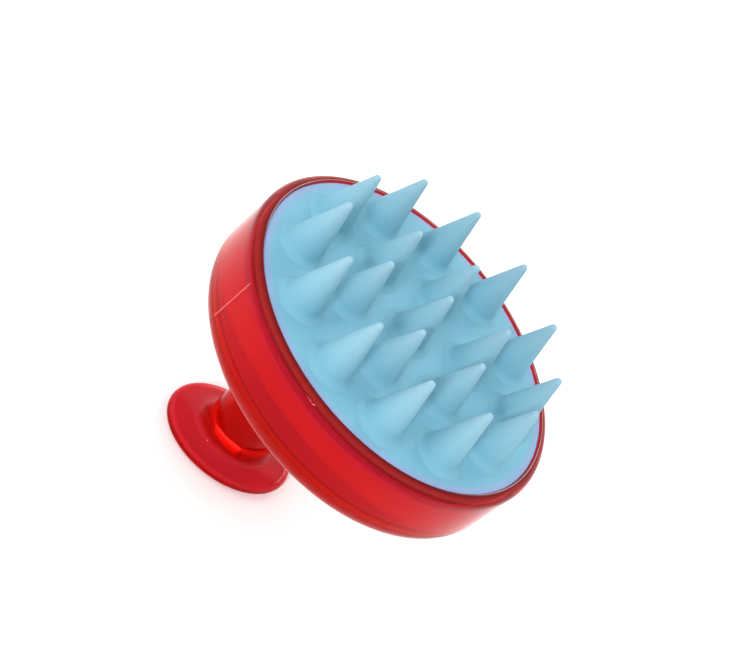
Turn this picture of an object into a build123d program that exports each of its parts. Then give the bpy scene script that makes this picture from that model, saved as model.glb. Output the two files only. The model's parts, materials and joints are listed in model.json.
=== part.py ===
from build123d import *
import math
import os

# Scalp massager brush: a round cup-shaped head with an oval-ended handle behind it, and a soft
# silicone pad with nineteen flexing spikes across its mouth.
# Millimetres, +Z from the handle's end face towards the spikes. The origin lies in the plane of
# the end face, on the axis of the round head.

# --- Head cup ---
head_radius = 40.0        # outer radius at the front lip
head_draft = 0.15         # how much smaller the back edge is, for the mould
head_depth = 18.9         # back face to front lip
cup_wall = 2.6            # side wall below the pad's seat
floor_thickness = 2.4
back_rounding = 5.0
lip_rounding = 2.2
lip_width = 2.35          # radial width of the front lip
lip_hook = 0.65           # how far the lip stands inward over the flange
corner_rounding = 1.5     # between the inside of the wall and the floor

# --- Handle ---
grip_height = 33.0        # end face to the back of the head
handle_offset = 7.8       # the handle stands this far from the head's axis, towards -X
end_half_length = 16.4   # oval end flange, along X
end_half_width = 12.9     # oval end flange, along Y
end_thickness = 2.4
waist_half_length = 8.5   # oval neck at its slimmest, along X
waist_half_width = 6.9
neck_spread = 1.2         # widening of the neck from its waist to the head
end_flare_height = 4.5    # trumpet from the end flange into the neck
end_flare_sink = 0.6      # how deep the trumpet's mouth runs into the flange
flare_margin = 3.2        # flat left between the trumpet and the flange's rounded rim
head_flare = 2.4          # spread of the trumpet that meets the back of the head
head_flare_height = 4.0
neck_wall = 2.3
spigot_wall = 1.1         # of the handle's end that sits in the cup's floor
core_taper = 0.9          # how much slimmer the hollow is at its blind end
end_wall = 5.0            # solid plastic between the hollow neck and the end face

# --- Pad and its backing plate ---
pad_thickness = 2.4
pad_recess = 0.4          # pad face below the lip
flange_thickness = 1.3    # the pad's edge, held under the lip
pad_edge_rounding = 0.4
plate_thickness = 1.6
seat_clearance = 0.1      # pad and plate in the cup's seat, radially
lip_clearance = 0.05      # pad face inside the lip, and flange under it

# --- Spikes ---
outer_count = 12
inner_count = 6
outer_ring_radius = 28.95
inner_ring_radius = 15.84
outer_spike_length = 15.7
inner_spike_length = 14.0
spike_root_radius = 4.75  # of the cone, at the pad's face
spike_tip_radius = 0.85
root_flare = 0.45         # extra radius where a root spreads into the pad
bend_height = 1.2         # centre of bending, above the pad's face
root_ball_inset = 0.4     # the rounded root's radius, short of the cone's root radius
bend_clearance = 0.15     # between the root and the moving cone
root_depth = 0.5          # how far a root is carried down into the sheet

# --- Heights and radii that follow ---
back_z = grip_height
lip_z = back_z + head_depth
floor_z = back_z + floor_thickness
pad_top_z = lip_z - pad_recess
pad_bottom_z = pad_top_z - pad_thickness
flange_top_z = pad_bottom_z + flange_thickness
lip_under_z = flange_top_z + lip_clearance
seat_z = pad_bottom_z - plate_thickness
root_ball_radius = spike_root_radius - root_ball_inset
lip_inner_radius = head_radius - lip_width
seat_radius = lip_inner_radius + lip_hook
bore_radius = head_radius - cup_wall
plate_radius = seat_radius - seat_clearance
upper_half_length = waist_half_length + neck_spread
upper_half_width = waist_half_width + neck_spread
end_rounding = 0.48 * end_thickness
spigot_half_length = upper_half_length - neck_wall + spigot_wall
spigot_half_width = upper_half_width - neck_wall + spigot_wall

os.makedirs("parts", exist_ok=True)


def keep(piece, name):
    """Label a finished piece and write it as its own file."""
    piece.part.label = name
    export_step(piece.part, f"parts/{name}.step")


def corner(profile, x, z):
    """The vertex of an unfinished profile that lies at (x, z)."""
    return profile.vertices().sort_by_distance((x, z))[0]


def turned(profile_points, roundings):
    """Revolve a closed profile, given as (radius, height) points, about the head's axis."""
    with BuildPart() as piece:
        with BuildSketch(Plane.XZ) as profile:
            with BuildLine():
                Polyline(*profile_points, close=True)
            make_face()
            for (x, z), radius in roundings:
                fillet(corner(profile, x, z), radius)
        revolve(axis=Axis.Z)
    return piece


# Head cup: floor, side wall, and a lip that hooks over the pad's flange.
cup_points = [
    (0, back_z),
    (head_radius - head_draft, back_z),
    (head_radius, lip_z),
    (lip_inner_radius, lip_z),
    (lip_inner_radius, lip_under_z),
    (seat_radius, lip_under_z),
    (seat_radius, seat_z),
    (bore_radius, seat_z),
    (bore_radius, floor_z),
    (0, floor_z),
]
cup_roundings = [
    ((head_radius - head_draft, back_z), back_rounding),
    ((head_radius, lip_z), min(lip_rounding, 0.95 * lip_width)),
    ((bore_radius, floor_z), corner_rounding),
]
with BuildPart() as head_cup:
    add(turned(cup_points, cup_roundings).part)
    with BuildSketch(Plane((-handle_offset, 0, back_z))):
        Ellipse(spigot_half_length, spigot_half_width)
    extrude(amount=floor_thickness, mode=Mode.SUBTRACT)
keep(head_cup, "head_cup")

# Handle: an oval end flange with a rounded rim, a trumpet neck, and a spigot in the cup's floor.
flare_steps = 6
end_flare_length = end_half_length - end_rounding - waist_half_length - flare_margin
end_flare_width = end_half_width - end_rounding - waist_half_width - flare_margin
end_flare_bottom = end_thickness - end_flare_sink
end_flare_top = end_flare_bottom + end_flare_height
head_flare_bottom = back_z - head_flare_height
end_flare_rings = []
head_flare_rings = []
for step in range(flare_steps + 1):
    turn = math.radians(90 * step / flare_steps)
    rise = 1 - math.cos(turn)
    spread = 1 - math.sin(turn)
    end_flare_rings.append(
        (
            end_flare_bottom + end_flare_height * rise,
            waist_half_length + end_flare_length * spread,
            waist_half_width + end_flare_width * spread,
        )
    )
    head_flare_rings.append(
        (
            back_z - head_flare_height * rise,
            upper_half_length + head_flare * spread,
            upper_half_width + head_flare * spread,
        )
    )
head_flare_rings.reverse()
straight_neck = [
    (end_flare_top, waist_half_length, waist_half_width),
    (head_flare_bottom, upper_half_length, upper_half_width),
]
core_sections = [
    (end_wall, waist_half_length - neck_wall - core_taper, waist_half_width - neck_wall - core_taper),
    (end_flare_top, waist_half_length - neck_wall, waist_half_width - neck_wall),
    (floor_z, upper_half_length - neck_wall, upper_half_width - neck_wall),
]
with BuildPart() as handle:
    with BuildSketch(Plane((-handle_offset, 0, 0))):
        Ellipse(end_half_length, end_half_width)
    extrude(amount=end_thickness)
    fillet(handle.edges(), end_rounding)
    for sections in (end_flare_rings, straight_neck, head_flare_rings):
        for height, half_length, half_width in sections:
            with BuildSketch(Plane((-handle_offset, 0, height))):
                Ellipse(half_length, half_width)
        loft()
    with BuildSketch(Plane((-handle_offset, 0, back_z))):
        Ellipse(spigot_half_length, spigot_half_width)
    extrude(amount=floor_thickness)
    for height, half_length, half_width in core_sections:
        with BuildSketch(Plane((-handle_offset, 0, height))):
            Ellipse(half_length, half_width)
    loft(ruled=True, mode=Mode.SUBTRACT)
keep(handle, "handle")

# Backing plate: a rigid disc on the cup's step, which carries the soft pad.
with BuildPart() as backing_plate:
    with BuildSketch(Plane.XY.offset(seat_z)):
        Circle(plate_radius)
    extrude(amount=plate_thickness)
keep(backing_plate, "backing_plate")


def ring_places(count, radius, first_turn):
    """Spike places on one ring: (x, y, direction in degrees) for each."""
    places = []
    for index in range(count):
        turn = first_turn + 360 * index / count
        angle = math.radians(turn)
        places.append((radius * math.cos(angle), radius * math.sin(angle), turn))
    return places


outer_places = ring_places(outer_count, outer_ring_radius, 180 / outer_count)
inner_places = ring_places(inner_count, inner_ring_radius, 0)
centre_place = (0.0, 0.0, 0.0)

# Silicone pad: a sheet with a thinner flange, and a rounded root for each spike.
pad_radius = lip_inner_radius - lip_clearance
flange_radius = seat_radius - seat_clearance
pad_points = [
    (0, pad_bottom_z),
    (flange_radius, pad_bottom_z),
    (flange_radius, flange_top_z),
    (pad_radius, flange_top_z),
    (pad_radius, pad_top_z),
    (0, pad_top_z),
]
pad_roundings = [((pad_radius, pad_top_z), pad_edge_rounding)]

with BuildPart() as spike_root:
    with BuildSketch(Plane.XZ):
        with BuildLine():
            Polyline(
                (0, bend_height),
                (0, -root_depth),
                (spike_root_radius + root_flare, -root_depth),
                (spike_root_radius + root_flare, 0),
                (root_ball_radius, bend_height),
                close=True,
            )
        make_face()
        with BuildLine():
            ball = CenterArc((0, bend_height), root_ball_radius, 0, 90)
            Polyline(ball @ 1, (0, bend_height), ball @ 0)
        make_face()
    revolve(axis=Axis.Z)

with BuildPart() as silicone_pad:
    add(turned(pad_points, pad_roundings).part)
    roots = [(x, y, pad_top_z) for x, y, turn in outer_places + inner_places + [centre_place]]
    with Locations(*roots):
        add(spike_root.part)
keep(silicone_pad, "silicone_pad")


def spike(place, length):
    """One spike's moving cone, from its root's ball to its rounded tip."""
    x, y, turn = place
    tip_centre = length - spike_tip_radius
    slant = math.hypot(spike_root_radius, tip_centre)
    half_angle = math.atan(spike_root_radius / tip_centre) - math.asin(spike_tip_radius / slant)
    taper = math.tan(half_angle)
    cup_radius = root_ball_radius + bend_clearance
    a = 1 + taper**2
    b = spike_root_radius * taper + bend_height
    c = spike_root_radius**2 + bend_height**2 - cup_radius**2
    rim_height = (b + math.sqrt(b**2 - a * c)) / a
    rim_radius = spike_root_radius - taper * rim_height
    rim_turn = math.degrees(math.atan2(rim_height - bend_height, rim_radius))
    with BuildPart() as cone:
        with BuildSketch(Plane((x, y, pad_top_z), (1, 0, 0), (0, -1, 0))):
            with BuildLine():
                cup = CenterArc((0, bend_height), cup_radius, rim_turn, 90 - rim_turn)
                tip = CenterArc(
                    (0, tip_centre),
                    spike_tip_radius,
                    math.degrees(half_angle),
                    90 - math.degrees(half_angle),
                )
                Line(cup @ 0, tip @ 0)
                Line(tip @ 1, cup @ 1)
            make_face()
        revolve(axis=Axis((x, y, 0), (0, 0, 1)))
    return cone


for number, place in enumerate(outer_places, start=1):
    keep(spike(place, outer_spike_length), f"spike_outer_{number:02d}")
for number, place in enumerate(inner_places, start=1):
    keep(spike(place, inner_spike_length), f"spike_inner_{number:02d}")
keep(spike(centre_place, inner_spike_length), "spike_centre")
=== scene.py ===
# %% [markdown]
# # Scalp massager brush
# A palm-sized brush for washing and rubbing the scalp. A clear red plastic moulding makes the round
# head and the oval-ended handle, and a light-blue silicone pad with nineteen soft spikes fills the
# mouth of the head. Everything here is in metres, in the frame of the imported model: +Z runs from
# the handle's flat end to the tips of the spikes.

# %% Load the frame
import json
import math

import bpy
import bmesh
from mathutils import Matrix, Vector


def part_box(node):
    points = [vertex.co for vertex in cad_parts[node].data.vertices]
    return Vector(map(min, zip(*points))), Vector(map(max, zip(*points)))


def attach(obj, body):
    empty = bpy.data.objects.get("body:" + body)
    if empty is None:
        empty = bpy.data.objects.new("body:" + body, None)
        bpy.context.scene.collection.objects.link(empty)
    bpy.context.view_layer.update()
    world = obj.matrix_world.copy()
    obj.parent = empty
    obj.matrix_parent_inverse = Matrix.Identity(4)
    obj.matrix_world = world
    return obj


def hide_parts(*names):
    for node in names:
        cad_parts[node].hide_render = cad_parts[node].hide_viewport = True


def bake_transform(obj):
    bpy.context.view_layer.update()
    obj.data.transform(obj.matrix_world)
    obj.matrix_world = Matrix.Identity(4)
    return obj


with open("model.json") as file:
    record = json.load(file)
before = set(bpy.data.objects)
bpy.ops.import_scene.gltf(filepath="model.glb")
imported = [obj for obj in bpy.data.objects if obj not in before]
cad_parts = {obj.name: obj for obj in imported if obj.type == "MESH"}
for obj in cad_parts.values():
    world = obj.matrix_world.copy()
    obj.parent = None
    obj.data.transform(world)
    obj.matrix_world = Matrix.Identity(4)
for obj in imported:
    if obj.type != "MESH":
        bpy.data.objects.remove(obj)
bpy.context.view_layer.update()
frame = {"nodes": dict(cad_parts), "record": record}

record = frame["record"]
MM = 0.001
BASE = "base"

# %% [markdown]
# ## Camera
# The brush is seen from 34 degrees above its own pad plane, with the camera tipped on its side, so
# the head leans to the right of the picture. The brush could be laid over instead, but it has to
# stay in the model's frame, so the camera is the one that tips. A long lens keeps the round head's
# outline a nearly true ellipse, and the camera is placed from the middle of the front lip.

# %% Camera
camera_azimuth = math.radians(-35.5)
camera_elevation = math.radians(34.08)
camera_roll = math.radians(51.2)
camera_distance = 0.43204
camera_aim_right = 0.006932     # the lip's middle lies this far right of the picture's middle
camera_aim_down = 0.000368
camera_lens = 100.7             # millimetres of focal length
camera_sensor = 36              # millimetres across
camera_nearest = 0.01
camera_farthest = 20
cup_low, cup_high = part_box("head_cup")
lip_centre = Vector((0, 0, cup_high[2]))

forward = Vector((
    -math.sin(camera_azimuth) * math.cos(camera_elevation),
    math.cos(camera_azimuth) * math.cos(camera_elevation),
    -math.sin(camera_elevation),
))
level_right = Vector((math.cos(camera_azimuth), math.sin(camera_azimuth), 0))
level_up = level_right.cross(forward)
right = level_right * math.cos(camera_roll) + level_up * math.sin(camera_roll)
up = level_up * math.cos(camera_roll) - level_right * math.sin(camera_roll)

camera_data = bpy.data.cameras.new("camera")
camera_data.lens = camera_lens
camera_data.sensor_width = camera_sensor
camera_data.clip_start = camera_nearest
camera_data.clip_end = camera_farthest
camera = bpy.data.objects.new("camera", camera_data)
bpy.context.scene.collection.objects.link(camera)
facing = Matrix((right, up, -forward)).transposed().to_4x4()
facing.translation = (
    lip_centre - forward * camera_distance - right * camera_aim_right + up * camera_aim_down
)
camera.matrix_world = facing
bpy.context.scene.camera = camera
print("camera at", [round(v, 4) for v in camera.location])

# %% [markdown]
# ## Rings
# The red moulding is one skin: it starts at the middle of the handle's end face, runs out over the
# rim, up the neck, across the back of the head, round the drum, over the lip, down the inside and
# into the hollow neck. Every step of that walk is an oval or a circle, so the whole thing is a
# stack of rings joined by quads. Lathing can't do it, because the handle stands off the head's
# axis and is oval, and a boolean union would leave creases in the shading. The pad is round, but it
# is stacked from rings too, so both pieces share these few helpers.

# %% Ring tools
RING_POINTS = 216
POLE_RADIUS = 0.3 * MM      # the smallest ring, next to a pole


def ring(height, half_length, half_width=None, centre=0.0):
    """One ring of a stack: height, half sizes along X and Y, and the centre's X."""
    return (height, half_length, half_length if half_width is None else half_width, centre)


def arc_rings(middle_height, middle_reach, radius, start, stop, steps, reach_to_ring):
    """Rings round a quarter of a rounded edge, in (reach, height), angles in degrees."""
    rings = []
    for step in range(steps + 1):
        turn = math.radians(start + (stop - start) * step / steps)
        reach = middle_reach + radius * math.cos(turn)
        rings.append(reach_to_ring(reach, middle_height + radius * math.sin(turn)))
    return rings


def round_ring(reach, height):
    """A ring of the head: a circle about the head's own axis."""
    return ring(height, reach)


def blend_rings(first, last, steps):
    """Flat rings between two rings, without either end."""
    rings = []
    for step in range(1, steps):
        share = step / steps
        rings.append(tuple(a + (b - a) * share for a, b in zip(first, last)))
    return rings


print("ring tools ready,", RING_POINTS, "points a ring")


# %% Skin over the rings
def skin(name, rings, turns=None):
    """A closed mesh over a stack of rings, with a pole at each end."""
    turns = turns or [2 * math.pi * i / RING_POINTS for i in range(RING_POINTS)]
    mesh = bpy.data.meshes.new(name)
    work = bmesh.new()
    rows = []
    for height, half_length, half_width, centre in rings:
        rows.append([
            work.verts.new((centre + half_length * math.cos(t), half_width * math.sin(t), height))
            for t in turns
        ])
    count = len(turns)
    for lower, upper in zip(rows, rows[1:]):
        for i in range(count):
            j = (i + 1) % count
            work.faces.new((lower[i], lower[j], upper[j], upper[i]))
    for row, (height, _, _, centre) in ((rows[0], rings[0]), (rows[-1], rings[-1])):
        pole = work.verts.new((centre, 0, height))
        for i in range(count):
            work.faces.new((row[i], row[(i + 1) % count], pole))
    bmesh.ops.recalc_face_normals(work, faces=work.faces)
    work.to_mesh(mesh)
    work.free()
    for polygon in mesh.polygons:
        polygon.use_smooth = True
    piece = bpy.data.objects.new(name, mesh)
    bpy.context.scene.collection.objects.link(piece)
    return piece


print("a skin closes each end with a pole")

# %% [markdown]
# ## The red moulding
# The head is a shallow drum with a floor, a thin wall and a front lip, and the handle is a hollow
# neck that flares into an oval end. The boxes of the model's nodes give the heights and the reach of
# the handle, and the radii, walls and roundings that a box can't tell are named here. The walk over
# the surface is made in three stretches, so that each one can be read and changed by itself.

# %% Sizes of the moulding
handle_low, handle_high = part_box("handle")
pad_low, pad_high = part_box("silicone_pad")
plate_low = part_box("backing_plate")[0]

handle_centre = (handle_low[0] + handle_high[0]) / 2
end_half_length = (handle_high[0] - handle_low[0]) / 2
end_half_width = (handle_high[1] - handle_low[1]) / 2
end_thickness = 2.4 * MM
end_rounding = 0.48 * end_thickness
waist_half_length = 8.5 * MM
waist_half_width = 6.9 * MM
neck_spread = 1.2 * MM
end_flare_height = 4.5 * MM
flare_margin = 3.2 * MM
end_flare_sink = 0.6 * MM
head_flare = 2.4 * MM
head_flare_height = 4.0 * MM
neck_wall = 2.3 * MM
end_wall = 5.0 * MM
core_taper = 0.9 * MM

back_z = cup_low[2]
lip_z = cup_high[2]
head_radius = 40.0 * MM
head_draft = 0.15 * MM
cup_wall = 2.6 * MM
floor_thickness = 2.4 * MM
floor_z = back_z + floor_thickness
back_rounding = 5.0 * MM
lip_rounding = 2.2 * MM
lip_width = 2.35 * MM
flange_thickness = 1.3 * MM
lip_clearance = 0.05 * MM
lip_hook = 0.65 * MM
lip_inner_rounding = 0.25 * MM
corner_rounding = 1.5 * MM
lip_inner_radius = head_radius - lip_width
seat_radius = lip_inner_radius + lip_hook
bore_radius = head_radius - cup_wall
seat_z = plate_low[2]
lip_under_z = pad_low[2] + flange_thickness + lip_clearance
upper_half_length = waist_half_length + neck_spread
upper_half_width = waist_half_width + neck_spread
print("head", 2000 * head_radius, "mm across, handle end", round(2000 * end_half_length, 2), "mm long")


# %% Outside of the handle
def handle_ring(spread_length, spread_width, height):
    """A ring of the handle: an oval about the handle's own axis."""
    return ring(height, spread_length, spread_width, handle_centre)


END_RIM_STEPS = 16
FLARE_STEPS = 24
HEAD_FLARE_STEPS = 12
shell_rings = [handle_ring(POLE_RADIUS, POLE_RADIUS, 0)]
end_flat = handle_ring(end_half_length - end_rounding, end_half_width - end_rounding, 0)
shell_rings += blend_rings(shell_rings[0], end_flat, 8)
for step in range(END_RIM_STEPS + 1):
    turn = math.radians(-90 + 180 * step / END_RIM_STEPS)
    out = end_rounding * (1 - math.cos(turn))
    height = end_thickness / 2 + (end_thickness / 2) * math.sin(turn)
    shell_rings.append(handle_ring(end_half_length - out, end_half_width - out, height))
flare_bottom = end_thickness - end_flare_sink
flare_length = end_half_length - end_rounding - waist_half_length - flare_margin
flare_width = end_half_width - end_rounding - waist_half_width - flare_margin
for step in range(1, FLARE_STEPS + 1):
    turn = math.radians(90 * step / FLARE_STEPS)
    height = flare_bottom + end_flare_height * (1 - math.cos(turn))
    if height <= end_thickness:
        continue
    spread = 1 - math.sin(turn)
    shell_rings.append(handle_ring(
        waist_half_length + flare_length * spread, waist_half_width + flare_width * spread, height
    ))
neck_top = handle_ring(upper_half_length, upper_half_width, back_z - head_flare_height)
shell_rings += blend_rings(shell_rings[-1], neck_top, 12)
for step in range(HEAD_FLARE_STEPS + 1):
    turn = math.radians(90 * step / HEAD_FLARE_STEPS)
    spread = head_flare * (1 - math.cos(turn))
    height = back_z - head_flare_height * (1 - math.sin(turn))
    shell_rings.append(handle_ring(upper_half_length + spread, upper_half_width + spread, height))
print("handle outside has", len(shell_rings), "rings")

# %% Outside of the head and the lip
back_radius = head_radius - head_draft
back_edge = round_ring(back_radius - back_rounding, back_z)
shell_rings += blend_rings(shell_rings[-1], back_edge, 10)
shell_rings += arc_rings(
    back_z + back_rounding, back_radius - back_rounding, back_rounding, -90, 0, 14, round_ring
)
lip_start = round_ring(head_radius, lip_z - lip_rounding)
shell_rings += blend_rings(shell_rings[-1], lip_start, 10)
shell_rings += arc_rings(
    lip_z - lip_rounding, head_radius - lip_rounding, lip_rounding, 0, 90, 12, round_ring
)
shell_rings += arc_rings(
    lip_z - lip_inner_rounding,
    lip_inner_radius + lip_inner_rounding,
    lip_inner_rounding, 90, 180, 4, round_ring,
)
print("with the head and the lip,", len(shell_rings), "rings")

# %% Inside of the head and the neck
shell_rings += [
    round_ring(lip_inner_radius, lip_under_z),
    round_ring(seat_radius, lip_under_z),
    round_ring(seat_radius, seat_z),
    round_ring(bore_radius, seat_z),
]
shell_rings += arc_rings(
    floor_z + corner_rounding, bore_radius - corner_rounding, corner_rounding,
    0, -90, 10, round_ring,
)
core_top = handle_ring(upper_half_length - neck_wall, upper_half_width - neck_wall, floor_z)
shell_rings += blend_rings(shell_rings[-1], core_top, 10)
core_foot = handle_ring(
    waist_half_length - neck_wall, waist_half_width - neck_wall, flare_bottom + end_flare_height
)
core_end = handle_ring(
    waist_half_length - neck_wall - core_taper, waist_half_width - neck_wall - core_taper, end_wall
)
shell_rings += [core_top] + blend_rings(core_top, core_foot, 8)
shell_rings += [core_foot] + blend_rings(core_foot, core_end, 4) + [core_end]
core_pole = handle_ring(POLE_RADIUS, POLE_RADIUS, end_wall)
shell_rings += blend_rings(core_end, core_pole, 4) + [core_pole]
print("the whole walk has", len(shell_rings), "rings")

# %% [markdown]
# ## The mould line
# A fine raised line crosses the drum where the two halves of the mould met. It could be a separate
# thin strip, but a strip would float on the surface or cut into it. Five extra columns of points
# are put into the skin at its place instead, and the middle three are lifted about a tenth of a
# millimetre. They also carry an attribute that the plastic reads to paint the line pale pink: partly
# frosted plastic and partly a painted highlight along the ridge.

# %% Skin with the mould line
mould_line_turn = math.radians(192)
mould_line_half = 0.10 * MM
mould_line_height = 0.12 * MM
mould_line_shoulder = 0.55      # the share of the height beside the middle
mould_line_overrun = 0.1 * MM
half_turn = mould_line_half / head_radius
shell_turns = [2 * math.pi * i / RING_POINTS for i in range(RING_POINTS)]
shell_turns = sorted(shell_turns + [
    mould_line_turn - 2 * half_turn, mould_line_turn - half_turn, mould_line_turn,
    mould_line_turn + half_turn, mould_line_turn + 2 * half_turn,
])
line_from_z = back_z + back_rounding - mould_line_overrun
line_to_z = lip_z - lip_rounding + mould_line_overrun
red_shell = skin("red_shell", shell_rings, shell_turns)
raised = 0
# the pale mark on the mould line: partly frosted plastic, partly a painted highlight
frost_and_highlight = red_shell.data.attributes.new("frost_and_highlight", "FLOAT", "POINT")
for vertex in red_shell.data.vertices:
    x, y, z = vertex.co
    aside = abs(math.atan2(y, x) % (2 * math.pi) - mould_line_turn)
    on_wall = math.hypot(x, y) > head_radius - 0.5 * MM and line_from_z < z < line_to_z
    if on_wall and aside < 1.2 * half_turn:
        share = 1 if aside < 0.1 * half_turn else mould_line_shoulder
        grow = 1 + share * mould_line_height / math.hypot(x, y)
        vertex.co = (x * grow, y * grow, z)
        frost_and_highlight.data[vertex.index].value = share
        raised += 1
print("mould line of", raised, "points")
print("red shell", len(red_shell.data.polygons), "faces from", len(shell_rings), "rings")

# %% [markdown]
# ## The pad
# A silicone sheet with a thinner flange that the lip hooks over. Its face lies just below the lip
# and has a softly rounded edge. A flat disc would do for the face alone, but the edge catches the
# light, so the sheet is a closed stack of rings like the moulding. The spikes grow out of it later.

# %% Pad
pad_recess = 0.4 * MM
pad_clearance = 0.05 * MM
pad_top_z = lip_z - pad_recess
pad_bottom_z = pad_low[2]
flange_radius = (pad_high[0] - pad_low[0]) / 2
pad_radius = lip_inner_radius - pad_clearance
pad_rounding = 0.45 * MM
flange_top_z = lip_under_z - lip_clearance
pad_rings = [round_ring(POLE_RADIUS, pad_bottom_z)]
pad_rings += blend_rings(pad_rings[0], round_ring(flange_radius, pad_bottom_z), 10)
pad_rings += [
    round_ring(flange_radius, pad_bottom_z),
    round_ring(flange_radius, flange_top_z),
    round_ring(pad_radius, flange_top_z),
]
pad_rings += arc_rings(
    pad_top_z - pad_rounding, pad_radius - pad_rounding, pad_rounding, 0, 90, 8, round_ring
)
face_pole = round_ring(POLE_RADIUS, pad_top_z)
pad_rings += blend_rings(pad_rings[-1], face_pole, 24) + [face_pole]
pad_skin = skin("pad_skin", pad_rings)
print("pad", len(pad_skin.data.polygons), "faces")

# %% [markdown]
# ## The spikes
# Nineteen cones with blunt tips, which spread into the pad at their roots. They follow one rule, so
# one Geometry Nodes tree makes them: a straight line is cut into rings, each ring's height and
# radius come from the spike's own sizes, and a circle is swept along it. The rings crowd together
# at the root and at the tip, where the outline curves.

# %% Named sizes of a spike
spike_root_radius = 4.75 * MM
spike_tip_radius = 0.85 * MM
spike_root_fillet = 1.5 * MM
spike_root_depth = 0.4 * MM     # how far the root is carried down into the pad
SPIKE_RINGS = 56
SPIKE_SIDES = 56

spike_tree = bpy.data.node_groups.new("spike_maker", "GeometryNodeTree")
nodes, links = spike_tree.nodes, spike_tree.links
spike_sockets = {}
for title, kind, value in (
    ("Length", "NodeSocketFloat", 15.7 * MM),
    ("Root radius", "NodeSocketFloat", spike_root_radius),
    ("Tip radius", "NodeSocketFloat", spike_tip_radius),
    ("Taper", "NodeSocketFloat", 0.26),
    ("Root fillet", "NodeSocketFloat", spike_root_fillet),
    ("Root depth", "NodeSocketFloat", spike_root_depth),
    ("Place", "NodeSocketVector", (0, 0, 0)),
    ("Rings", "NodeSocketInt", SPIKE_RINGS),
    ("Sides", "NodeSocketInt", SPIKE_SIDES),
    ("Material", "NodeSocketMaterial", None),
):
    socket = spike_tree.interface.new_socket(title, in_out="INPUT", socket_type=kind)
    if value is not None:
        socket.default_value = value
    spike_sockets[title] = socket.identifier
spike_tree.interface.new_socket("Geometry", in_out="OUTPUT", socket_type="NodeSocketGeometry")
given = nodes.new("NodeGroupInput").outputs
result = nodes.new("NodeGroupOutput")
print("a spike has", len(spike_sockets), "named inputs")


# %% Arithmetic nodes
def maths(kind, first, second=None):
    """One Math node of the spike tree, fed by sockets or plain numbers."""
    node = nodes.new("ShaderNodeMath")
    node.operation = kind
    for slot, value in enumerate((first, second)):
        if value is None:
            continue
        if isinstance(value, (int, float)):
            node.inputs[slot].default_value = value
        else:
            links.new(value, node.inputs[slot])
    return node.outputs[0]


def square(value):
    """A socket's value times itself."""
    return maths("MULTIPLY", value, value)


print("arithmetic ready")

# %% [markdown]
# ### A spike's outline
# The height runs from 0 to the spike's length, eased by a cosine so that rings gather at both ends.
# The radius is a straight cone, plus a quarter-round fillet at the root, and near the top it
# changes to a round tip that touches the cone without a corner.

# %% Height and radius along a spike
along = nodes.new("GeometryNodeSplineParameter").outputs["Factor"]
falling = maths("COSINE", maths("MULTIPLY", along, math.pi))
eased = maths("MULTIPLY", maths("SUBTRACT", 1, falling), 0.5)
height = maths("MULTIPLY", eased, given["Length"])

narrowing = maths("MULTIPLY", height, given["Taper"])
cone = maths("SUBTRACT", given["Root radius"], narrowing)
past_root = maths("DIVIDE", height, given["Root fillet"])
near = maths("MAXIMUM", maths("SUBTRACT", 1, past_root), 0)
spread = maths("SUBTRACT", 1, maths("SQRT", maths("SUBTRACT", 1, square(near))))
body = maths("ADD", cone, maths("MULTIPLY", spread, given["Root fillet"]))

tip_middle = maths("SUBTRACT", given["Length"], given["Tip radius"])
above = maths("SUBTRACT", height, tip_middle)
dome_squared = maths("SUBTRACT", square(given["Tip radius"]), square(above))
dome = maths("SQRT", maths("MAXIMUM", dome_squared, 0))
turn = maths("SINE", maths("ARCTANGENT", given["Taper"]))
in_dome = maths("GREATER_THAN", above, maths("MULTIPLY", given["Tip radius"], turn))
below_dome = maths("SUBTRACT", 1, in_dome)
radius = maths("ADD", maths("MULTIPLY", body, below_dome), maths("MULTIPLY", dome, in_dome))

at_foot = maths("LESS_THAN", along, 1e-6)
lowered = maths("SUBTRACT", height, maths("MULTIPLY", at_foot, given["Root depth"]))
print("outline ready,", len(nodes), "nodes so far")


# %% Line, places and kept values
def keep(geometry, name, value):
    """Store a value on each point of a curve under a name."""
    node = nodes.new("GeometryNodeStoreNamedAttribute")
    node.data_type = "FLOAT"
    node.domain = "POINT"
    node.inputs["Name"].default_value = name
    links.new(geometry, node.inputs["Geometry"])
    links.new(value, node.inputs["Value"])
    return node.outputs["Geometry"]


line = nodes.new("GeometryNodeCurvePrimitiveLine")
line.inputs["End"].default_value = (0, 0, 1)
cut = nodes.new("GeometryNodeResampleCurve")
links.new(line.outputs["Curve"], cut.inputs["Curve"])
links.new(given["Rings"], cut.inputs["Count"])
spot = nodes.new("ShaderNodeCombineXYZ")
links.new(lowered, spot.inputs["Z"])
shifted = nodes.new("ShaderNodeVectorMath")
shifted.operation = "ADD"
links.new(spot.outputs[0], shifted.inputs[0])
links.new(given["Place"], shifted.inputs[1])
placed = nodes.new("GeometryNodeSetPosition")
measured = keep(keep(cut.outputs["Curve"], "rise", eased), "ring_radius", radius)
links.new(measured, placed.inputs["Geometry"])
links.new(shifted.outputs[0], placed.inputs["Position"])
print("the line keeps its rise and its ring radius")

# %% Sweep, close and finish
read = nodes.new("GeometryNodeInputNamedAttribute")
read.data_type = "FLOAT"
read.inputs["Name"].default_value = "ring_radius"
circle = nodes.new("GeometryNodeCurvePrimitiveCircle")
circle.inputs["Radius"].default_value = 1
links.new(given["Sides"], circle.inputs["Resolution"])
sweep = nodes.new("GeometryNodeCurveToMesh")
sweep.inputs["Fill Caps"].default_value = True
links.new(placed.outputs["Geometry"], sweep.inputs["Curve"])
links.new(circle.outputs["Curve"], sweep.inputs["Profile Curve"])
links.new(read.outputs["Attribute"], sweep.inputs["Scale"])
merge = nodes.new("GeometryNodeMergeByDistance")
merge.inputs["Distance"].default_value = 0.001 * MM
links.new(sweep.outputs["Mesh"], merge.inputs["Geometry"])
smooth = nodes.new("GeometryNodeSetShadeSmooth")
links.new(merge.outputs["Geometry"], smooth.inputs["Geometry"])
real = nodes.new("GeometryNodeRealizeInstances")
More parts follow.
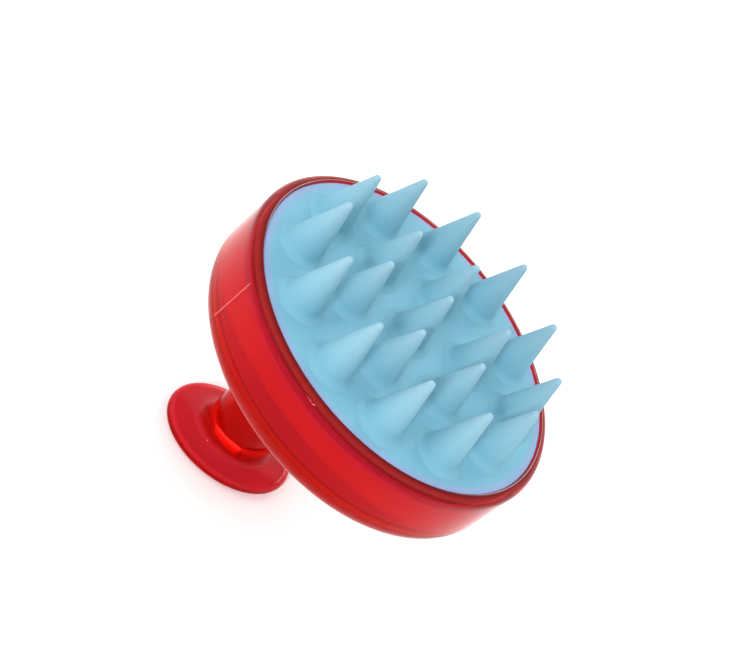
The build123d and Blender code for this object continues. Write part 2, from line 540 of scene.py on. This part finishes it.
links.new(smooth.outputs["Geometry"], real.inputs["Geometry"])
paint = nodes.new("GeometryNodeSetMaterial")
links.new(real.outputs["Geometry"], paint.inputs["Geometry"])
links.new(given["Material"], paint.inputs["Material"])
links.new(paint.outputs["Geometry"], result.inputs[0])
print("spike tree has", len(nodes), "nodes")

# %% [markdown]
# ## Plastic and silicone
# Two finishes cover the brush, and both start from the same few helpers: an empty node material, a
# shallow bump from noise, and a colour that runs between two others. The noise reads object
# coordinates, so it stays fixed to a piece however the brush is turned or posed.

# %% Material helpers
def new_material(name):
    """A node material with only a Principled shader and its output."""
    material = bpy.data.materials.new(name)
    material.use_nodes = True
    shader = material.node_tree.nodes["Principled BSDF"]
    return material, material.node_tree, shader


def fine_bump(tree, shader, scale, strength, distance):
    """A shallow unevenness from noise on object coordinates."""
    place = tree.nodes.new("ShaderNodeTexCoord")
    noise = tree.nodes.new("ShaderNodeTexNoise")
    noise.inputs["Scale"].default_value = scale
    noise.inputs["Detail"].default_value = 3
    bump = tree.nodes.new("ShaderNodeBump")
    bump.inputs["Strength"].default_value = strength
    bump.inputs["Distance"].default_value = distance
    tree.links.new(place.outputs["Object"], noise.inputs["Vector"])
    tree.links.new(noise.outputs["Fac"], bump.inputs["Height"])
    tree.links.new(bump.outputs["Normal"], shader.inputs["Normal"])
    return noise


def ramp_between(tree, factor, low, high, from_low, from_high):
    """A colour that runs from low to high as factor runs between two values."""
    ramp = tree.nodes.new("ShaderNodeMapRange")
    ramp.inputs["From Min"].default_value = from_low
    ramp.inputs["From Max"].default_value = from_high
    mix = tree.nodes.new("ShaderNodeMix")
    mix.data_type = "RGBA"
    mix.inputs["A"].default_value = (*low, 1)
    mix.inputs["B"].default_value = (*high, 1)
    tree.links.new(factor, ramp.inputs["Value"])
    tree.links.new(ramp.outputs["Result"], mix.inputs["Factor"])
    return mix.outputs["Result"]


print("material helpers ready")

# %% [markdown]
# ## Clear red plastic
# The real plastic is clear and tinted: light passes through the wall and comes out red, deeper
# where the wall is thick or folds back, and the surface is glossy. Tracing that light through every
# wall is slow and noisy, and the exported model would lose it. So the shader lets part of the light
# through, and the depth of the red is painted as a colour ramp over the height, with a stop for each
# band. Some bands are painted light: a pale pink flange top, a highlight line on the lip, and dark
# shade lines at the lip and round the back of the head.

# %% Reds
RIM_RED = (0.50, 0.004, 0.001)
# the flange top is painted pale pink: painted light shining through and reflecting off it
FLANGE_LIT_PINK = (0.95, 0.040, 0.062)
HANDLE_RED = (0.60, 0.003, 0.001)
BACK_RED = (0.70, 0.004, 0.002)
WALL_RED = (0.58, 0.012, 0.017)
EDGE_RED = (0.62, 0.010, 0.005)
# painted shade: dark lines where the inner corner shows through the wall
BACK_SHADE_LINE_RED = (0.34, 0.006, 0.001)
SEAT_RED = (0.56, 0.012, 0.030)
LIP_RED = (0.50, 0.034, 0.030)
# a painted highlight line along the lip
LIP_HIGHLIGHT_RED = (0.95, 0.20, 0.12)
# painted shade: thin dark lines at the lip, next to the pad's edge
LIP_SHADE_LINE_RED = (0.21, 0.008, 0.010)
# the mould line's pale pink: partly frosting, partly a painted highlight
MOULD_LINE_FROST_AND_HIGHLIGHT_PINK = (0.95, 0.42, 0.40)
print("eleven reds and a pink")


# %% Red by height
def red_by_height(tree):
    """The depth of the red up the moulding, with painted highlight and shade bands: stops are heights
    and colours.
    """
    place = tree.nodes.new("ShaderNodeTexCoord")
    parts = tree.nodes.new("ShaderNodeSeparateXYZ")
    share = tree.nodes.new("ShaderNodeMapRange")
    share.inputs["From Min"].default_value = 0
    share.inputs["From Max"].default_value = lip_z
    ramp = tree.nodes.new("ShaderNodeValToRGB")
    stops = (
        (0.3 * MM, RIM_RED),
        (end_thickness - 1.0 * MM, RIM_RED),
        # painted light: the pale pink flange top
        (end_thickness - 0.3 * MM, FLANGE_LIT_PINK),
        (end_thickness + 0.2 * MM, FLANGE_LIT_PINK),
        (end_thickness + 1.6 * MM, HANDLE_RED),
        (back_z - 3.0 * MM, HANDLE_RED),
        (back_z + 0.2 * MM, BACK_RED),
        (back_z + 2.0 * MM, EDGE_RED),
        (back_z + 4.4 * MM, EDGE_RED),
        # painted shade lines round the back of the head
        (back_z + 4.8 * MM, BACK_SHADE_LINE_RED),
        (back_z + 5.2 * MM, EDGE_RED),
        (back_z + 6.0 * MM, EDGE_RED),
        (back_z + 6.4 * MM, BACK_SHADE_LINE_RED),
        (back_z + 6.8 * MM, WALL_RED),
        (lip_z - 4.4 * MM, WALL_RED),
        (lip_z - 3.2 * MM, SEAT_RED),
        (lip_z - 1.4 * MM, SEAT_RED),
        # painted shade lines on the lip
        (lip_z - 0.95 * MM, LIP_SHADE_LINE_RED),
        (lip_z - 0.75 * MM, LIP_RED),
        (lip_z - 0.38 * MM, LIP_RED),
        # painted highlight: a thin pale line on the lip
        (lip_z - 0.32 * MM, LIP_HIGHLIGHT_RED),
        (lip_z - 0.26 * MM, LIP_RED),
        (lip_z - 0.06 * MM, LIP_SHADE_LINE_RED),
    )
    colours = ramp.color_ramp
    while len(colours.elements) < len(stops):
        colours.elements.new(0.5)
    for stop, (height, red) in zip(colours.elements, stops):
        stop.position = height / lip_z
        stop.color = (*red, 1)
    tree.links.new(place.outputs["Object"], parts.inputs["Vector"])
    tree.links.new(parts.outputs["Z"], share.inputs["Value"])
    tree.links.new(share.outputs["Result"], ramp.inputs["Fac"])
    return ramp.outputs["Color"]


print("red by height ready")


# %% Clear red plastic
def clear_red():
    """Glossy tinted plastic, faintly clouded, painted pale along the mould line: partly frosting,
    partly a painted highlight.
    """
    material, tree, shader = new_material("clear_red_plastic")
    noise = fine_bump(tree, shader, scale=45, strength=0.25, distance=0.02 * MM)
    dimmed, full = (0.94, 0.94, 0.94), (1.0, 1.0, 1.0)
    cloud = ramp_between(tree, noise.outputs["Fac"], dimmed, full, 0.3, 0.7)
    tinted = tree.nodes.new("ShaderNodeMix")
    tinted.data_type = "RGBA"
    tinted.blend_type = "MULTIPLY"
    tinted.inputs["Factor"].default_value = 1
    tree.links.new(red_by_height(tree), tinted.inputs["A"])
    tree.links.new(cloud, tinted.inputs["B"])
    # the mould line's pale mark: partly frosting, partly a painted highlight
    frost_and_highlight = tree.nodes.new("ShaderNodeAttribute")
    frost_and_highlight.attribute_name = "frost_and_highlight"
    lined = tree.nodes.new("ShaderNodeMix")
    lined.data_type = "RGBA"
    lined.inputs["B"].default_value = (*MOULD_LINE_FROST_AND_HIGHLIGHT_PINK, 1)
    tree.links.new(tinted.outputs["Result"], lined.inputs["A"])
    tree.links.new(frost_and_highlight.outputs["Fac"], lined.inputs["Factor"])
    tree.links.new(lined.outputs["Result"], shader.inputs["Base Color"])
    shader.inputs["Roughness"].default_value = 0.06
    shader.inputs["IOR"].default_value = 1.18
    shader.inputs["Specular Tint"].default_value = (1.0, 0.25, 0.32, 1)
    shader.inputs["Transmission Weight"].default_value = 0.66
    return material


red_plastic = clear_red()
red_shell.data.materials.append(red_plastic)
frame["nodes"]["backing_plate"].material_slots[0].material = red_plastic
print("painted", red_shell.name, "and the backing plate with", red_plastic.name)

# %% [markdown]
# ## Blue silicone
# Silicone is satin and slightly cloudy, so light sinks a little way in: a rough surface with weak
# reflections over a shallow subsurface glow. More glow would draw an outline round each spike's
# root. The spikes are painted darker at the root and paler at the tip: painted shade between the
# roots and painted light through the thin tips. The sheet is painted violet at its edge, a painted
# glow of the lip's red light.

# %% Violet edge
# painted glow: violet at the sheet's edge stands in for the lip's red light
RIM_GLOW_VIOLET = (0.21, 0.275, 0.45)
violet_start = pad_radius - 2.6 * MM
violet_end = pad_radius - 0.2 * MM


def violet_rim(tree, colour):
    """Blend a colour into violet over the sheet's last two or three millimetres: a painted glow of the
    lip's red light.
    """
    place = tree.nodes.new("ShaderNodeTexCoord")
    parts = tree.nodes.new("ShaderNodeSeparateXYZ")
    flat = tree.nodes.new("ShaderNodeCombineXYZ")
    reach = tree.nodes.new("ShaderNodeVectorMath")
    reach.operation = "LENGTH"
    tree.links.new(place.outputs["Object"], parts.inputs["Vector"])
    tree.links.new(parts.outputs["X"], flat.inputs["X"])
    tree.links.new(parts.outputs["Y"], flat.inputs["Y"])
    tree.links.new(flat.outputs["Vector"], reach.inputs[0])
    near = tree.nodes.new("ShaderNodeMapRange")
    near.interpolation_type = "SMOOTHSTEP"
    near.inputs["From Min"].default_value = violet_start
    near.inputs["From Max"].default_value = violet_end
    mix = tree.nodes.new("ShaderNodeMix")
    mix.data_type = "RGBA"
    mix.inputs["B"].default_value = (*RIM_GLOW_VIOLET, 1)
    tree.links.new(reach.outputs["Value"], near.inputs["Value"])
    tree.links.new(near.outputs["Result"], mix.inputs["Factor"])
    tree.links.new(colour, mix.inputs["A"])
    return mix.outputs["Result"]


print("violet starts", round(violet_start / MM, 2), "mm from the middle")


# %% Silicone
SHEET_BLUES = (0.129, 0.320, 0.420), (0.138, 0.338, 0.440)
# spikes painted darker at the root and paler at the tip: painted shade and painted light through the
# thin tips
SPIKE_BLUES = (0.139, 0.330, 0.427), (0.208, 0.352, 0.425)


def blue_silicone(name, low, high, by_rise):
    """Satin silicone between two blues, by the rise up a spike, painted darker at the root and paler
    at the tip, or by noise on the sheet.
    """
    material, tree, shader = new_material(name)
    noise = fine_bump(tree, shader, scale=900, strength=0.12, distance=0.02 * MM)
    if by_rise:
        rise = tree.nodes.new("ShaderNodeAttribute")
        rise.attribute_name = "rise"
        colour = ramp_between(tree, rise.outputs["Fac"], low, high, 0.1, 1.0)
    else:
        colour = ramp_between(tree, noise.outputs["Fac"], low, high, 0.2, 0.8)
        colour = violet_rim(tree, colour)
    tree.links.new(colour, shader.inputs["Base Color"])
    shader.inputs["Roughness"].default_value = 0.62
    shader.inputs["Specular IOR Level"].default_value = 0.25
    shader.inputs["IOR"].default_value = 1.41
    shader.inputs["Subsurface Weight"].default_value = 0.25
    shader.inputs["Subsurface Radius"].default_value = (0.5, 0.9, 1.0)
    shader.inputs["Subsurface Scale"].default_value = 1.5 * MM
    return material


pad_blue = blue_silicone("pad_silicone", *SHEET_BLUES, by_rise=False)
spike_blue = blue_silicone("spike_silicone", *SPIKE_BLUES, by_rise=True)
pad_skin.data.materials.append(pad_blue)
print("silicones", [m.name for m in (pad_blue, spike_blue)])

# %% [markdown]
# ## Nineteen spikes
# Each real spike is one moulding with the sheet and bends from its root. In the model it is a rigid
# cone on a hinge, so a cone that simply rode on its body would leave the sheet and cut into it. Here
# each spike is one smooth, straight piece made where its CAD cone stands, which is hidden. The tree
# is run once for each spike, with that spike's sizes.


def make_spike(node, length):
    """One spike where its CAD cone stands, with the CAD cone hidden."""
    low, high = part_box(node)
    x, y = (low[0] + high[0]) / 2, (low[1] + high[1]) / 2
    tip_centre = length - spike_tip_radius
    half_angle = math.atan(spike_root_radius / tip_centre) - math.asin(
        spike_tip_radius / math.hypot(spike_root_radius, tip_centre)
    )
    maker = bpy.data.objects.new("maker", bpy.data.meshes.new("maker"))
    bpy.context.scene.collection.objects.link(maker)
    sizes = maker.modifiers.new("spike", "NODES")
    sizes.node_group = spike_tree
    for title, value in (
        ("Length", length),
        ("Root radius", spike_root_radius),
        ("Tip radius", spike_tip_radius),
        ("Taper", math.tan(half_angle)),
        ("Place", (x, y, pad_top_z)),
        ("Material", spike_blue),
    ):
        sizes[spike_sockets[title]] = value
    view = bpy.context.evaluated_depsgraph_get()
    mesh = bpy.data.meshes.new_from_object(maker.evaluated_get(view))
    bpy.data.objects.remove(maker)
    mesh.name = "soft_" + node
    piece = bpy.data.objects.new("soft_" + node, mesh)
    bpy.context.scene.collection.objects.link(piece)
    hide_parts(node)
    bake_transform(piece)
    return piece


spikes = []
for body, members in record["behaviour"]["bodies"].items():
    if body == BASE:
        continue
    node = members[0]
    tip_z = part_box(node)[1][2]
    spikes.append(make_spike(node, tip_z - pad_top_z))
print(len(spikes), "spikes of", len(spikes[0].data.polygons), "faces")

# %% [markdown]
# ## What stands for what
# The moulding stands for two of the model's nodes, the cup and the handle, which look like one
# piece on the real brush. The sheet stands for the pad. Both ride on the head's body, and the
# model's own nodes stay hidden, for contact only.

# %% Ride and replace
for piece, stands_for, slot in (
    (red_shell, ("head_cup", "handle"), "red_plastic"),
    (pad_skin, ("silicone_pad",), "pad_silicone"),
):
    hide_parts(*stands_for)
    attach(piece, BASE)
    print(piece.name, "stands for", stands_for)

# %% [markdown]
# ## Studio
# A pale floor and a white room give the even look of a plain product table. Three soft square
# lights shape the drum and the spikes, and one narrow lamp reaches the handle, which lies in the
# head's shadow. The floor sits a little below the handle's flat end: two surfaces in one plane
# would flicker, and the floor would darken the clear plastic.

# %% Floor
floor_mesh = bpy.data.meshes.new("floor")
FLOOR = 3.0             # half the floor's side
FLOOR_Z = -0.2 * MM
floor_mesh.from_pydata(
    [
        (-FLOOR, -FLOOR, FLOOR_Z), (FLOOR, -FLOOR, FLOOR_Z),
        (FLOOR, FLOOR, FLOOR_Z), (-FLOOR, FLOOR, FLOOR_Z),
    ],
    [], [(0, 1, 2, 3)],
)
floor = bpy.data.objects.new("floor", floor_mesh)
bpy.context.scene.collection.objects.link(floor)
floor_paint, _, floor_shader = new_material("pale_floor")
floor_shader.inputs["Base Color"].default_value = (0.96, 0.96, 0.96, 1)
floor_shader.inputs["Roughness"].default_value = 0.7
floor_mesh.materials.append(floor_paint)
print("floor at", FLOOR_Z / MM, "mm")


# %% Lights
def soft_light(name, position, aim, size, power):
    """A square area light that faces a point."""
    data = bpy.data.lights.new(name, "AREA")
    data.size = size
    data.energy = power
    light = bpy.data.objects.new(name, data)
    light.location = position
    light.rotation_euler = (Vector(aim) - Vector(position)).to_track_quat("-Z", "Y").to_euler()
    bpy.context.scene.collection.objects.link(light)


middle = (0, 0, 0.035)
soft_light("key_light", (-0.5, 0.0, 0.35), middle, size=0.35, power=0.8)
soft_light("back_light", (0.30, 0.42, 0.36), middle, size=0.16, power=0.8)
soft_light("fill_light", (0.30, -0.20, 0.50), middle, size=0.35, power=0.4)
handle_lamp = bpy.data.lights.new("handle_lamp", "SPOT")
handle_lamp.energy = 45.0
handle_lamp.spot_size = math.radians(7.5)
handle_lamp.spot_blend = 0.7
handle_lamp.shadow_soft_size = 0.08
lamp = bpy.data.objects.new("handle_lamp", handle_lamp)
lamp.location = (-0.26, -0.30, 0.19)
lamp_aim_height = 6.0 * MM
lamp_aim = Vector((handle_centre, 0, lamp_aim_height)) - lamp.location
lamp.rotation_euler = lamp_aim.to_track_quat("-Z", "Y").to_euler()
bpy.context.scene.collection.objects.link(lamp)
print("lights ready")

# %% Room
ROOM_BRIGHTNESS = 1.32
room = bpy.data.worlds.new("white_room")
room.use_nodes = True
background = room.node_tree.nodes["Background"]
background.inputs["Color"].default_value = (1, 1, 1, 1)
background.inputs["Strength"].default_value = ROOM_BRIGHTNESS
bpy.context.scene.world = room
bpy.context.scene.view_settings.view_transform = "Standard"
print("studio ready")
